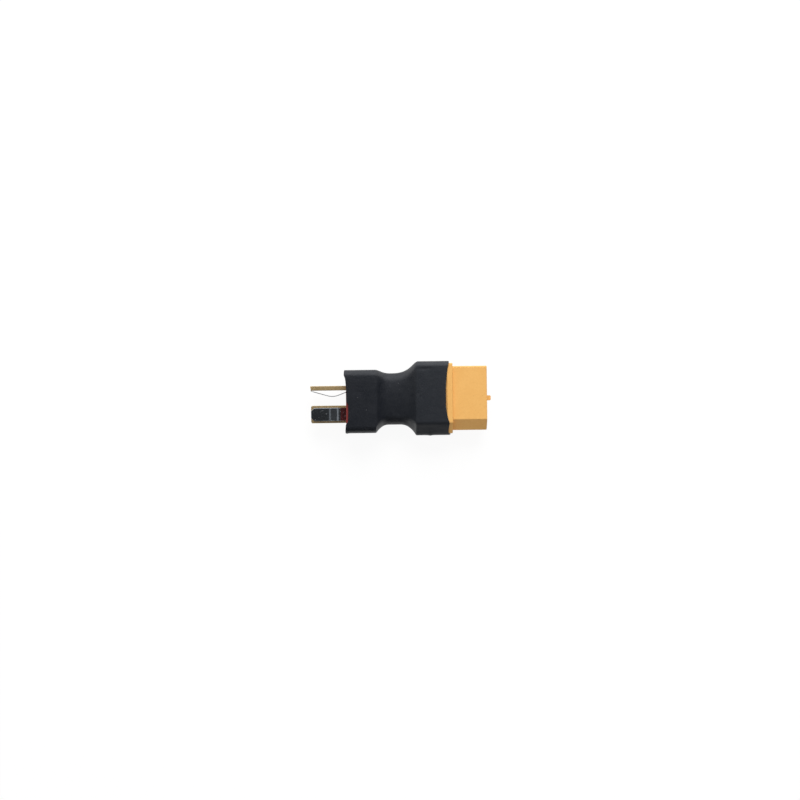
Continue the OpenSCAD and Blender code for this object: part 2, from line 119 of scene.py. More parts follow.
def corner_arc(a: Point2, p: Point2, b: Point2, r: float, steps: int) -> list[Point2]:
    """Round corner p of an outline that comes from a and leaves to b.

    Args:
        a: The point before the corner.
        p: The corner.
        b: The point after it.
        r: Radius of the rounding.
        steps: How many chords the arc gets.

    Returns:
        The arc's points, from the first tangent point to the last.
    """
    u, v = unit(a, p), unit(p, b)
    turn = math.atan2(u[0] * v[1] - u[1] * v[0], u[0] * v[0] + u[1] * v[1])
    side = math.copysign(1.0, turn)
    reach = r * math.tan(abs(turn) / 2)
    start = (p[0] - u[0] * reach, p[1] - u[1] * reach)
    middle = (start[0] - side * r * u[1], start[1] + side * r * u[0])
    dx, dy = start[0] - middle[0], start[1] - middle[1]
    points = []
    for i in range(steps + 1):
        c, s = math.cos(turn * i / steps), math.sin(turn * i / steps)
        points.append((middle[0] + dx * c - dy * s, middle[1] + dx * s + dy * c))
    return points


def rounded_loop(corners: list[Point2], r: float, steps: int, divisions: list[int]) -> list[Point2]:
    """Close an outline with every corner rounded and its straight stretches divided.

    Args:
        corners: The sharp corners, counter-clockwise.
        r: Radius of every corner.
        steps: Chords in each arc.
        divisions: How many pieces the stretch after each corner gets.

    Returns:
        The points of the closed outline.
    """
    n = len(corners)
    arcs = [corner_arc(corners[i - 1], corners[i], corners[(i + 1) % n], r, steps) for i in range(n)]
    loop: list[Point2] = []
    for i, arc in enumerate(arcs):
        following = arcs[(i + 1) % n][0]
        loop += arc
        loop += [mix2(arc[-1], following, k / divisions[i]) for k in range(1, divisions[i])]
    return loop


def grown(corners: list[Point2], d: float) -> list[Point2]:
    """Move a closed outline outwards by d."""
    n = len(corners)
    moved = []
    for i, p in enumerate(corners):
        into, out = unit(corners[i - 1], p), unit(p, corners[(i + 1) % n])
        u, v = (into[1], -into[0]), (out[1], -out[0])
        k = d / (1 + u[0] * v[0] + u[1] * v[1])
        moved.append((p[0] + k * (u[0] + v[0]), p[1] + k * (u[1] + v[1])))
    return moved


def section_corners(w: float, h: float, flat: float, key: Point2, shift: float = 0.0) -> list[Point2]:
    """Eight corners of a housing's section.

    Args:
        w: Width along Y.
        h: Height along Z.
        flat: Size of the small flats on the +Y side.
        key: Width and height of the flats on the -Y side.
        shift: How far the section sits off the axis along Y.

    Returns:
        The corners as (y, z), counter-clockwise.
    """
    ky, kz = key
    a, b = w / 2, h / 2
    corners = [(a, b - flat), (a - flat, b), (ky - a, b), (-a, b - kz),
               (-a, kz - b), (ky - a, -b), (a - flat, -b), (a, flat - b)]
    return [(y + shift, z) for y, z in corners]


def new_piece(name: str, points: list[Point3], faces: list[tuple[int, ...]], smooth: bool = True) -> bpy.types.Object:
    """Make a mesh piece of the adapter that moves with its body.

    Args:
        name: The piece's name.
        points: Corners in millimetres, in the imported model's frame.
        faces: Point numbers of each face.
        smooth: Whether the faces are shaded smoothly.

    Returns:
        The new object.
    """
    mesh = bpy.data.meshes.new(name)
    mesh.from_pydata([(x * MM, y * MM, z * MM) for x, y, z in points], [], faces)
    mesh.validate()
    mesh.polygons.foreach_set("use_smooth", [smooth] * len(mesh.polygons))
    piece = bpy.data.objects.new(name, mesh)
    bpy.context.scene.collection.objects.link(piece)
    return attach(piece, BODY)


def dress(piece: bpy.types.Object, material: bpy.types.Material) -> None:
    """Give a piece one material on all its faces."""
    if not piece.material_slots:
        piece.data.materials.append(material)
    for slot in piece.material_slots:
        slot.material = material


# Finishes


class ShaderGraph:
    """One material's shader nodes, laid out from the object's own coordinates."""

    def __init__(self, name: str, roughness: float, metallic: float = 0.0) -> None:
        """Start a material with one principled shader.

        Args:
            name: The material's name.
            roughness: Its plain roughness.
            metallic: 1 for bare metal, 0 for plastic.
        """
        self.material = bpy.data.materials.new(name)
        self.material.use_nodes = True
        self.tree = self.material.node_tree
        self.tree.nodes.clear()
        output = self.tree.nodes.new("ShaderNodeOutputMaterial")
        self.shader = self.tree.nodes.new("ShaderNodeBsdfPrincipled")
        self.shader.inputs["Roughness"].default_value = roughness
        self.shader.inputs["Metallic"].default_value = metallic
        self.join(self.shader.outputs["BSDF"], output.inputs["Surface"])
        self.place = self.tree.nodes.new("ShaderNodeTexCoord").outputs["Object"]

    def join(self, source: bpy.types.NodeSocket, target: bpy.types.NodeSocket) -> None:
        """Link one socket to another."""
        self.tree.links.new(source, target)

    def noise(self, size: float, stretch: Point3 = (1.0, 1.0, 1.0), detail: float = 3.0,
              offset: float = 0.0) -> bpy.types.NodeSocket:
        """Add cloudy noise.

        Args:
            size: Width of one cloud in millimetres.
            stretch: How much finer the noise is along X, Y and Z.
            detail: How many finer layers it has.
            offset: Moves the noise, so that two layers differ.

        Returns:
            The noise as a value round 0.5.
        """
        mapping = self.tree.nodes.new("ShaderNodeMapping")
        mapping.inputs["Scale"].default_value = stretch
        mapping.inputs["Location"].default_value = (offset, offset / 2, offset / 3)
        self.join(self.place, mapping.inputs["Vector"])
        node = self.tree.nodes.new("ShaderNodeTexNoise")
        node.inputs["Scale"].default_value = 1 / (size * MM)
        node.inputs["Detail"].default_value = detail
        self.join(mapping.outputs["Vector"], node.inputs["Vector"])
        return node.outputs["Fac"]

    def cells(self, size: float, offset: float = 0.0) -> bpy.types.NodeSocket:
        """Add a pattern of cells.

        Args:
            size: Width of one cell in millimetres.
            offset: Moves the pattern.

        Returns:
            The distance to the nearest cell's middle, as a share of a cell.
        """
        mapping = self.tree.nodes.new("ShaderNodeMapping")
        mapping.inputs["Location"].default_value = (offset, offset, offset)
        self.join(self.place, mapping.inputs["Vector"])
        node = self.tree.nodes.new("ShaderNodeTexVoronoi")
        node.inputs["Scale"].default_value = 1 / (size * MM)
        self.join(mapping.outputs["Vector"], node.inputs["Vector"])
        return node.outputs["Distance"]

    def ranged(self, source: bpy.types.NodeSocket, span: Point2, result: Point2) -> bpy.types.NodeSocket:
        """Turn one range of a value into another, and cut off what lies beyond it."""
        node = self.tree.nodes.new("ShaderNodeMapRange")
        values = dict(zip(("From Min", "From Max", "To Min", "To Max"), (*span, *result)))
        for name, value in values.items():
            node.inputs[name].default_value = value
        self.join(source, node.inputs["Value"])
        return node.outputs["Result"]

    def product(self, a: bpy.types.NodeSocket, b: bpy.types.NodeSocket) -> bpy.types.NodeSocket:
        """Multiply two values."""
        node = self.tree.nodes.new("ShaderNodeMath")
        node.operation = "MULTIPLY"
        self.join(a, node.inputs[0])
        self.join(b, node.inputs[1])
        return node.outputs["Value"]

    def blend(self, factor: bpy.types.NodeSocket, first: Colour | bpy.types.NodeSocket,
              second: Colour) -> bpy.types.NodeSocket:
        """Blend one colour into another by a value.

        Args:
            factor: 0 for the first colour, 1 for the second.
            first: A colour, or the socket of an earlier blend.
            second: The colour that comes in.

        Returns:
            The blended colour.
        """
        node = self.tree.nodes.new("ShaderNodeMix")
        node.data_type = "RGBA"
        self.join(factor, node.inputs[0])
        if isinstance(first, tuple):
            node.inputs[6].default_value = (*first, 1.0)
        else:
            self.join(first, node.inputs[6])
        node.inputs[7].default_value = (*second, 1.0)
        return node.outputs[2]

    def bump(self, height: bpy.types.NodeSocket, depth: float,
             under: bpy.types.NodeSocket | None = None) -> bpy.types.NodeSocket:
        """Raise the surface by a value.

        Args:
            height: The value, 0 to 1.
            depth: Height of 1 in millimetres.
            under: The normal of a coarser layer.

        Returns:
            The bumped normal.
        """
        node = self.tree.nodes.new("ShaderNodeBump")
        node.inputs["Distance"].default_value = depth * MM
        self.join(height, node.inputs["Height"])
        if under is not None:
            self.join(under, node.inputs["Normal"])
        return node.outputs["Normal"]

    def softened_edges(self, radius: float) -> bpy.types.NodeSocket:
        """Shade edges as if they were rounded by a radius in millimetres, and return that normal."""
        node = self.tree.nodes.new("ShaderNodeBevel")
        node.samples = 6
        node.inputs["Radius"].default_value = radius * MM
        return node.outputs["Normal"]

    def along(self, span: Point2) -> bpy.types.NodeSocket:
        """0 before the first place along X and 1 beyond the second, in millimetres."""
        axes = self.tree.nodes.new("ShaderNodeSeparateXYZ")
        self.join(self.place, axes.inputs["Vector"])
        return self.ranged(axes.outputs["X"], (span[0] * MM, span[1] * MM), (0.0, 1.0))

    def finish(self, colour: bpy.types.NodeSocket, roughness: bpy.types.NodeSocket,
               normal: bpy.types.NodeSocket) -> bpy.types.Material:
        """Join the worked-out colour, roughness and normal to the shader and return the material."""
        self.join(colour, self.shader.inputs["Base Color"])
        self.join(roughness, self.shader.inputs["Roughness"])
        self.join(normal, self.shader.inputs["Normal"])
        return self.material


@dataclass(frozen=True)
class MouldedNylon:
    """Satin nylon as it comes from the mould: faint clouds, fine grain and a few darker flecks."""

    name: str
    colour: Colour
    cloud: Colour
    speckle: Colour
    fleck: Colour
    roughness: float = 0.5
    grain_depth: float = 0.012
    edge_r: float = 0.14

    def material(self) -> bpy.types.Material:
        """Build the nylon's material."""
        graph = ShaderGraph(self.name, self.roughness)
        graph.shader.inputs["Specular IOR Level"].default_value = 0.4
        clouds = graph.ranged(graph.noise(2.4), (0.35, 0.7), (0.0, 1.0))
        speckle = graph.ranged(graph.noise(0.42, detail=2.0, offset=0.9), (0.4, 0.62), (0.0, 0.55))
        flecks = graph.ranged(graph.noise(0.3, detail=1.0, offset=0.4), (0.68, 0.8), (0.0, 0.7))
        resin = graph.blend(speckle, graph.blend(clouds, self.colour, self.cloud), self.speckle)
        colour = graph.blend(flecks, resin, self.fleck)
        roughness = graph.ranged(graph.noise(0.9), (0.3, 0.7), (self.roughness - 0.07, self.roughness + 0.07))
        waves = graph.bump(graph.noise(2.0, detail=1.0), 0.02, graph.softened_edges(self.edge_r))
        return graph.finish(colour, roughness, graph.bump(graph.noise(0.16), self.grain_depth, waves))


@dataclass(frozen=True)
class ShrunkTube:
    """Black polymer tube after shrinking: satin, softly uneven, drawn along its length, with dust on it."""

    name: str
    colour: Colour
    cloud: Colour
    stretched: Colour
    speckle: Colour
    dust: Colour
    stretch_x: Point2 = (-1.0, 5.0)
    roughness: float = 0.42

    def material(self) -> bpy.types.Material:
        """Build the tube's material."""
        graph = ShaderGraph(self.name, self.roughness)
        graph.shader.inputs["Specular IOR Level"].default_value = 0.5
        clouds = graph.ranged(graph.noise(3.0), (0.35, 0.7), (0.0, 1.0))
        dust = graph.ranged(graph.cells(1.7, offset=0.002), (0.07, 0.035), (0.0, 1.0))
        patches = graph.ranged(graph.noise(5.0, offset=0.7), (0.5, 0.62), (0.0, 0.8))
        tube = graph.blend(clouds, self.colour, self.cloud)
        tube = graph.blend(graph.along(self.stretch_x), tube, self.stretched)
        speckle = graph.ranged(graph.noise(0.3, detail=2.0, offset=0.5), (0.42, 0.66), (0.0, 0.5))
        colour = graph.blend(graph.product(dust, patches), graph.blend(speckle, tube, self.speckle), self.dust)
        roughness = graph.ranged(graph.noise(1.3), (0.3, 0.7), (self.roughness - 0.06, self.roughness + 0.1))
        waves = graph.bump(graph.noise(3.6, stretch=(0.6, 1.0, 1.0), detail=1.0), 0.06)
        drawn = graph.bump(graph.noise(0.8, stretch=(0.35, 1.0, 1.0)), 0.03, waves)
        return graph.finish(colour, roughness, graph.bump(graph.noise(0.26), 0.024, drawn))


@dataclass(frozen=True)
class WorkedMetal:
    """Bare or plated metal with the fine marks of how it was made, and stains."""

    name: str
    colour: Colour
    stain: Colour
    roughness: float
    grain: Grain
    grain_size: float = 0.5
    grain_depth: float = 0.003
    stain_size: float = 1.6
    stain_share: float = 0.5
    edge_r: float = 0.06
    metallic: float = 1.0
    dust: Colour = (0.75, 0.75, 0.76)
    dust_share: float = 0.0

    def material(self) -> bpy.types.Material:
        """Build the metal's material."""
        graph = ShaderGraph(self.name, self.roughness, self.metallic)
        stains = graph.ranged(graph.noise(self.stain_size, detail=4.0), (0.45, 0.75), (0.0, self.stain_share))
        marks = graph.noise(self.grain_size, stretch=self.grain.value, detail=2.0)
        span = (self.roughness * 0.75, self.roughness * 1.3)
        roughness = graph.ranged(marks, (0.3, 0.7), span)
        edges = graph.softened_edges(self.edge_r)
        colour = graph.blend(stains, self.colour, self.stain)
        if self.dust_share:
            specks = graph.ranged(graph.cells(0.6, offset=0.0007), (0.12, 0.06), (0.0, self.dust_share))
            colour = graph.blend(specks, colour, self.dust)
            graph.join(graph.ranged(specks, (0.0, self.dust_share), (self.metallic, 0.0)),
                       graph.shader.inputs["Metallic"])
        return graph.finish(colour, roughness, graph.bump(marks, self.grain_depth, edges))


@dataclass(frozen=True)
class FrostedSolder:
    """Solder that has set: bright, with a frosty skin of small crystals and traces of flux."""

    name: str
    colour: Colour
    flux: Colour
    roughness: float = 0.35

    def material(self) -> bpy.types.Material:
        """Build the solder's material."""
        graph = ShaderGraph(self.name, self.roughness, metallic=1.0)
        crystals = graph.cells(0.22)
        flux = graph.ranged(graph.noise(1.1, detail=4.0), (0.5, 0.7), (0.0, 0.6))
        roughness = graph.ranged(crystals, (0.0, 0.8), (self.roughness - 0.1, self.roughness + 0.15))
        waves = graph.bump(graph.noise(0.9, detail=1.0), 0.05)
        return graph.finish(graph.blend(flux, self.colour, self.flux), roughness, graph.bump(crystals, 0.01, waves))


YELLOW_NYLON = MouldedNylon("yellow nylon", (0.892, 0.497, 0.151), (0.872, 0.473, 0.137), (0.845, 0.452, 0.127),
                            (0.62, 0.31, 0.07))
RED_NYLON = MouldedNylon("red nylon", (0.27, 0.038, 0.036), (0.235, 0.030, 0.028), (0.22, 0.027, 0.025),
                         (0.15, 0.017, 0.016))
SHRUNK_TUBE = ShrunkTube("black shrunk tube", (0.0075, 0.0095, 0.0145), (0.0105, 0.0125, 0.018),
                         (0.0165, 0.0195, 0.0255), (0.021, 0.024, 0.030), (0.13, 0.135, 0.14))
GOLD_CONTACT = WorkedMetal("gold on turned brass", (0.86, 0.62, 0.26), (0.62, 0.42, 0.17), 0.22, Grain.TURNED)
GOLD_BLADE = WorkedMetal("thin gold on a stamped blade", (0.86, 0.64, 0.33), (0.54, 0.40, 0.21), 0.46, Grain.ROLLED,
                         stain_size=0.8, stain_share=0.4, metallic=0.85, edge_r=0.22)
SPRING_STEEL = WorkedMetal("polished spring steel", (0.465, 0.51, 0.565), (0.34, 0.36, 0.39), 0.13, Grain.ROLLED,
                           grain_size=0.35, grain_depth=0.0008, stain_share=0.6, dust_share=0.5)
SOLDER = FrostedSolder("set solder", (0.66, 0.67, 0.68), (0.30, 0.25, 0.17))


# The adapter's sub-assemblies


def node_box(node: str) -> tuple[Vector, Vector]:
    """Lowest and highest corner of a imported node, in millimetres."""
    low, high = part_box(node)
    return Vector(low) / MM, Vector(high) / MM


@dataclass(frozen=True)
class Stations:
    """Places along the adapter and round its axis that several pieces share, in millimetres."""

    blade_tip_x: float
    blade_face_x: float
    blade_back_x: float
    socket_back_x: float
    axis_z: float
    upright_y: float
    flat_y: float
    blade_t: float = 1.0
    rear_l: float = 6.85
    fit_gap: float = 0.02

    @classmethod
    def from_frame(cls) -> "Stations":
        """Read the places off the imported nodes' boxes."""
        housing, sockets = node_box("blade_housing"), node_box("socket_housing")
        upright, flat = node_box("upright_blade"), node_box("flat_blade")
        return cls(
            blade_tip_x=flat[0].x,
            blade_face_x=housing[0].x,
            blade_back_x=housing[1].x,
            socket_back_x=sockets[0].x,
            axis_z=(sockets[0].z + sockets[1].z) / 2,
            upright_y=upright[0].y + cls.blade_t / 2,
            flat_y=(flat[0].y + flat[1].y) / 2,
        )

    @property
    def collar_back_x(self) -> float:
        """Where the socket housing's collar begins."""
        return self.socket_back_x + self.rear_l


@dataclass
class SocketPlug:
    """The yellow housing with its collar, keyed nose and nub, and the two turned contacts in it."""

    housing_node: str = "socket_housing"
    contact_nodes: tuple[str, ...] = ("socket_contact_positive", "socket_contact_negative")

    def build(self) -> None:
        """Dress the housing and its contacts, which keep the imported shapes."""
        dress(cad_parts[self.housing_node], YELLOW_NYLON.material())
        gold = GOLD_CONTACT.material()
        for node in self.contact_nodes:
            dress(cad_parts[node], gold)
        log.info("socket plug: housing and %d contacts", len(self.contact_nodes))


@dataclass
class LeafSpring:
    """A thin polished leaf that hooks over its blade's tip, bows off the blade and tucks into the nylon."""

    stations: Stations
    width: float = 3.0
    thickness: float = 0.15
    hook_drop: float = 0.45
    hook_rise: float = 0.14
    hook_r: float = 0.12
    crown_at: float = 5.2
    crown_rise: float = 1.58
    crown_r: float = 3.8
    tail_r: float = 1.5
    root_overrun: float = 0.85
    tuck: float = 2.2
    corner: float = 0.75
    step: float = 0.14
    across: int = 10
    edge_steps: int = 6

    def middle_line(self) -> list[Point2]:
        """Middle of the leaf from its hook to its tail, as (distance from the blade's tip, height over it)."""
        hook_x = self.thickness / 2
        seat = hook_x + self.stations.fit_gap
        root = self.stations.blade_face_x - self.stations.blade_tip_x + self.root_overrun
        corners = [(hook_x, -self.hook_drop), (hook_x, self.hook_rise), (self.crown_at, self.crown_rise),
                   (root, seat), (root + self.tuck, seat)]
        line = [corners[0]]
        for i, (r, steps) in enumerate(((self.hook_r, 8), (self.crown_r, 24), (self.tail_r, 12)), start=1):
            line += corner_arc(corners[i - 1], corners[i], corners[i + 1], r, steps)
        line.append(corners[-1])
        return self.divided(line)

    def divided(self, line: list[Point2]) -> list[Point2]:
        """Split a line's long stretches so that no step is longer than the leaf's own."""
        fine = [line[0]]
        for a, b in zip(line, line[1:]):
            parts = max(1, math.ceil(math.dist(a, b) / self.step))
            fine += [mix2(a, b, k / parts) for k in range(1, parts + 1)]
        return fine

    def ring(self, half: float) -> list[Point2]:
        """Section across the leaf as (sideways, outwards), with half-round edges."""
        r = self.thickness / 2
        flat = half - r
        top = [(mix(-flat, flat, i / self.across), r) for i in range(self.across + 1)]
        edge = []
        for i in range(1, self.edge_steps):
            a = math.pi * i / self.edge_steps
            edge.append((flat + r * math.sin(a), r * math.cos(a)))
        right = top + edge
        return right + [(-w, -s) for w, s in right]

    def mesh(self) -> tuple[list[Point3], list[tuple[int, ...]]]:
        """Sweep the section along the middle line.

        Returns:
            The points as (distance, sideways, height over the blade's middle), and the faces.
        """
        line = self.middle_line()
        front = line[0][0] - self.thickness / 2
        points: list[Point3] = []
        for i, (x, h) in enumerate(line):
            u = unit(line[max(i - 1, 0)], line[min(i + 1, len(line) - 1)])
            half = min(self.width / 2, self.width / 2 - self.corner + max(0.0, x - front))
            for w, s in self.ring(half):
                points.append((x - u[1] * s, w, h + u[0] * s + self.stations.blade_t / 2))
        n = len(points) // len(line)
        faces: list[tuple[int, ...]] = [tuple(range(n)), tuple(range(len(points) - 1, len(points) - n - 1, -1))]
        for i in range(len(line) - 1):
            for j in range(n):
                k = (j + 1) % n
                faces.append((i * n + j, (i + 1) * n + j, (i + 1) * n + k, i * n + k))
        return points, faces

    def build(self, name: str, node: str, upright: bool, material: bpy.types.Material) -> None:
        """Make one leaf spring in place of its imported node.

        Args:
            name: The new piece's name.
            node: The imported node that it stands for.
            upright: Whether its blade stands on edge, with the leaf on its inner side.
            material: The leaf's finish.
        """
        at = self.stations
        points, faces = self.mesh()
        if upright:
            placed = [(x + at.blade_tip_x, at.upright_y - h, at.axis_z + w) for x, w, h in points]
        else:
            placed = [(x + at.blade_tip_x, at.flat_y + w, at.axis_z + h) for x, w, h in points]
        piece = new_piece(name, placed, faces)
        dress(piece, material)
        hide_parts(node)
        log.info("%s: %d faces", name, len(piece.data.polygons))


@dataclass
class BladePlug:
    """The red housing, its two blades at right angles and a leaf spring on each blade."""

    stations: Stations
    housing_node: str = "blade_housing"
    blade_nodes: tuple[str, ...] = ("upright_blade", "flat_blade")

    def build(self) -> None:
        """Dress the housing and blades, and make the two leaf springs."""
        dress(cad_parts[self.housing_node], RED_NYLON.material())
        gold = GOLD_BLADE.material()
        for node in self.blade_nodes:
            dress(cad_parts[node], gold)
        steel = SPRING_STEEL.material()
        upright_leaf = LeafSpring(self.stations)
        flat_leaf = LeafSpring(self.stations, crown_at=5.75, crown_rise=1.62, crown_r=5.0, root_overrun=0.55)
        upright_leaf.build("leaf_on_upright_blade", "upright_leaf_spring", True, steel)
        flat_leaf.build("leaf_on_flat_blade", "flat_leaf_spring", False, steel)
        log.info("blade plug: housing, %d blades and their leaf springs", len(self.blade_nodes))


@dataclass
class SolderJoints:
    """The solder that fills each cup round its tab."""

    nodes: tuple[str, ...] = ("solder_joint_positive", "solder_joint_negative")

    def build(self) -> None:
        """Dress the two solder joints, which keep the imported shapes."""
        solder = SOLDER.material()
        for node in self.nodes:
            dress(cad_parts[node], solder)
        log.info("solder joints: %d", len(self.nodes))


class Wall(Enum):
    """Wall of the sleeve: the axis that it faces along, and the sign."""

    TOP = (2, 1)
    NEAR = (1, 1)
    FAR = (1, -1)


@dataclass(frozen=True)
class Mark:
    """A shallow dent in the sleeve's outer skin, or a bulge where its depth is below zero.

    Its place is x and, across the wall, y on the top or the height over the axis on a side wall.
    """

    wall: Wall
    x: float
    across: float
    length: float
    width: float
    depth: float
    turn: float = 0.0

    def press(self, p: Point3) -> Point3:
        """Move a point of the outer skin by the mark's depth there."""
        axis, sign = self.wall.value
        if p[axis] * sign <= 0:
            return p
        c, s = math.cos(math.radians(self.turn)), math.sin(math.radians(self.turn))
        dx, da = p[0] - self.x, p[3 - axis] - self.across
        u, v = (dx * c + da * s) / self.length, (da * c - dx * s) / self.width
        moved = list(p)
        moved[axis] -= sign * self.depth * math.exp(-u * u - v * v)
        return (moved[0], moved[1], moved[2])


@dataclass(frozen=True)
class Shoulder:
    """How the sleeve comes down from a housing to its waist. Pairs are for the far side and the near one."""

    length: Point2
    power: Point2
    lead: Point2
    soft: Point2
    inner_soft: float = 0.001

    def share(self, beyond: float, near: float, inner_lead: float | None) -> float:
        """Share of the housing's section that a skin still follows.

        Args:
            beyond: How far the place lies beyond the housing's end, towards the waist.
            near: 0 on the far side, 1 on the near side.
            inner_lead: The inner skin's lead, or None for the outer skin.

        Returns:
            1 over the housing, 0 at the waist.
        """
        inside = inner_lead is not None
        lead = inner_lead if inside else mix(*self.lead, near)
        soft = self.inner_soft if inside else mix(*self.soft, near)
        t = max(0.0, 1 - (beyond - lead) / mix(*self.length, near))
        return soft_min(t ** mix(*self.power, near), 1.0, soft)


@dataclass
class ShrunkSleeve:
    """The black sleeve, shrunk onto both housings with a waist over the solder cups."""

    stations: Stations
    wall: float = 0.48
    rear: Point2 = (15.8, 7.7)
    bulge: float = 0.1
    collar: Point2 = (16.0, 8.1)
    key: Point2 = (2.5, 2.2)
    rear_r: float = 0.7
    collar_r: float = 0.3
    blade_body: Point2 = (13.4, 7.4)
    blade_body_r: float = 1.0
    blade_body_y: float = -0.5
    neck: Point2 = (10.86, 3.9)
    neck_r: float = 1.6
    neck_flat: float = 1.0
    corner_flat: float = 0.65
    blade_shoulder: Shoulder = Shoulder((2.8, 3.0), (2.2, 2.2), (0.1, 0.5), (0.12, 0.5))
    socket_shoulder: Shoulder = Shoulder((3.9, 5.9), (2.6, 2.9), (0.15, 0.1), (0.12, 0.3))
    lip_ramp: float = 0.8
    collar_lap: float = 0.55
    blade_lap: float = 0.4
    blade_askew: float = 0.18
    socket_draw: float = 0.74
    blade_draw: float = 0.46
    end_power: float = 3.0
    blade_side_draw: float = 0.15
    near_side_draw: float = 0.3
    far_side_reach: float = 0.36
    far_flat_draw: float = 0.18
    ear_reach: float = 0.17
    ear_y: float = 5.5
    ear_half: float = 0.5
    notch_draw: float = 0.45
    notch_y: float = -3.05
    notch_half: float = 2.3
    notch_soft: float = 0.9
    crown: float = 0.1
    neck_crown: float = 0.65
    rear_edge_drop: float = 0.28
    blade_edge_drop: float = 0.14
    edge_fall_power: int = 12
    blade_zone: float = 2.0
    arc_steps: int = 6
    divisions: list[int] = field(default_factory=lambda: [2, 44, 7, 12, 7, 24, 2, 12])
    end_rings: int = 14
    ring_step: float = 0.2
    rim_round: float = 0.1
    rim_steps: int = 4
    marks: tuple[Mark, ...] = (
        Mark(Wall.TOP, 4.0, 1.2, 0.5, 0.3, 0.1, 60),
        Mark(Wall.TOP, 4.6, 0.4, 0.4, 0.25, 0.08, 30),
        Mark(Wall.TOP, 5.6, 6.75, 1.5, 0.2, 0.12, 2),
        Mark(Wall.TOP, -0.5, -3.3, 0.5, 0.9, 0.09, 20),
        Mark(Wall.TOP, 1.2, -2.0, 1.6, 0.8, 0.04, 20),
        Mark(Wall.TOP, -9.5, 1.5, 1.8, 0.6, 0.03, -15),
        Mark(Wall.FAR, 6.7, 1.0, 0.45, 1.6, -0.11),
        Mark(Wall.FAR, -12.3, 1.0, 0.35, 2.5, -0.14),
    )

    def skin(self, corners: list[Point2], r: float, d: float) -> list[Point2]:
        """Rounded outline of one section, moved outwards by d."""
        return rounded_loop(grown(corners, d), r + d, self.arc_steps, self.divisions)

    def sections(self, inside: bool) -> dict[str, list[Point2]]:
        """Sections of one skin.

        Args:
            inside: True for the skin that touches the housings.

        Returns:
            The outlines over the blade housing, the neck, the rear body and the lip.
        """
        gap = self.stations.fit_gap
        d = gap if inside else gap + self.wall
        blade_flat = self.corner_flat * self.blade_body_r
        bulge = 0.0 if inside else self.bulge
        blade = section_corners(*self.blade_body, blade_flat, (blade_flat, blade_flat), self.blade_body_y)
        rear = section_corners(self.rear[0] + bulge, self.rear[1], self.corner_flat * self.rear_r, self.key, bulge / 2)
        neck = section_corners(*self.neck, self.neck_flat, (self.neck_flat, self.neck_flat))
        collar = section_corners(*self.collar, self.corner_flat * self.collar_r, self.key)
        if inside:
            return {
                "blade": self.skin(blade, self.blade_body_r, d),
                "neck": self.skin(neck, self.neck_r, 0.0),
                "rear": self.skin(rear, self.rear_r, d),
                "lip": self.skin(collar, self.collar_r, d),
            }
        rear_skin = self.crowned(self.skin(rear, self.rear_r, d), self.crown, self.rear_edge_drop)
        return {
            "blade": self.crowned(self.skin(blade, self.blade_body_r, d), self.crown, self.blade_edge_drop),
            "neck": self.crowned(self.skin(neck, self.neck_r, self.wall), self.neck_crown, 0.0),
            "rear": rear_skin,
            "lip": rear_skin,
        }

    def crowned(self, outline: list[Point2], drop: float, edge_drop: float) -> list[Point2]:
        """Let the broad sides of an outline fall away from their middle.

        Args:
            outline: The outline of one section.
            drop: How far they fall by their long edges, in an even bow.
            edge_drop: How much further they fall close to the near edge.

        Returns:
            The outline with bowed broad sides.
        """
        low, high = min(y for y, _ in outline), max(y for y, _ in outline)
        top = max(z for _, z in outline)
        crowned = []
        for y, z in outline:
            t = (2 * y - low - high) / (high - low)
            fall = drop * t**2 + edge_drop * max(t, 0.0) ** self.edge_fall_power
            crowned.append((y, z * (1 - fall / top)))
        return crowned

    def lip_share(self, x: float) -> float:
        """How far the inner skin has opened to pass over the collar at x."""
        start = self.stations.collar_back_x - self.lip_ramp
        return smooth01((x - start) / (self.lip_ramp - 3 * self.stations.fit_gap))

    def place(self, sections: dict[str, list[Point2]], x: float, j: int, inside: bool) -> Point3:
        """Point j of the skin at x, measured from the housings' axis."""
        neck = sections["neck"][j]
        near = clamp01(0.5 + neck[0] / self.neck[0])
        inner_lead = self.stations.fit_gap if inside else None
        b = self.blade_shoulder.share(x - self.stations.blade_back_x, near, inner_lead)
        s = self.socket_shoulder.share(self.stations.socket_back_x - x, near, inner_lead)
        lip = self.lip_share(x)
        y, z = (
            neck[k] + b * (sections["blade"][j][k] - neck[k]) + s * (sections["rear"][j][k] - neck[k])
            + lip * (sections["lip"][j][k] - sections["rear"][j][k])
            for k in (0, 1)
        )
        return (x, y, z)

    def side_bow(self, p: Point2) -> float:
        """1 at mid height of a side wall, 0 where the wall meets the broad sides."""
        up = clamp01(abs(p[1]) / (self.rear[1] / 2 - self.key[1] / 2))
        return 1 - up * up

    def flat_bow(self, p: Point2) -> float:
        """1 in the middle of a key flat, 0 at its two edges."""
        half = self.key[1] / 2
        off = (abs(p[1]) - self.rear[1] / 2 + half) / half
        return clamp01(1 - off * off)

    def notch(self, p: Point2) -> float:
        """Extra draw of the blade end beside the flat blade, on the upper side only."""
        if p[1] <= 0:
            return 0.0
        inward = self.notch_half + self.notch_soft / 2 - abs(p[0] - self.notch_y)
        return self.notch_draw * smooth01(inward / self.notch_soft)

    def blade_edge(self, p: Point2) -> float:
        """Where the blade end lies for a point of its section."""
        far = p[0] < 0
        half = self.blade_body[0] / 2 - self.blade_body_y if far else self.blade_body[0] / 2 + self.blade_body_y
        corner = self.blade_draw - self.blade_askew if far else self.blade_draw
        reach = self.blade_lap - self.blade_draw + corner * clamp01(abs(p[0]) / half) ** self.end_power
        if p[1] > 0:
            reach += self.ear_reach * math.exp(-(((p[0] - self.ear_y) / self.ear_half) ** 2))
        return self.stations.blade_face_x - reach + self.blade_side_draw * self.side_bow(p) + self.notch(p)

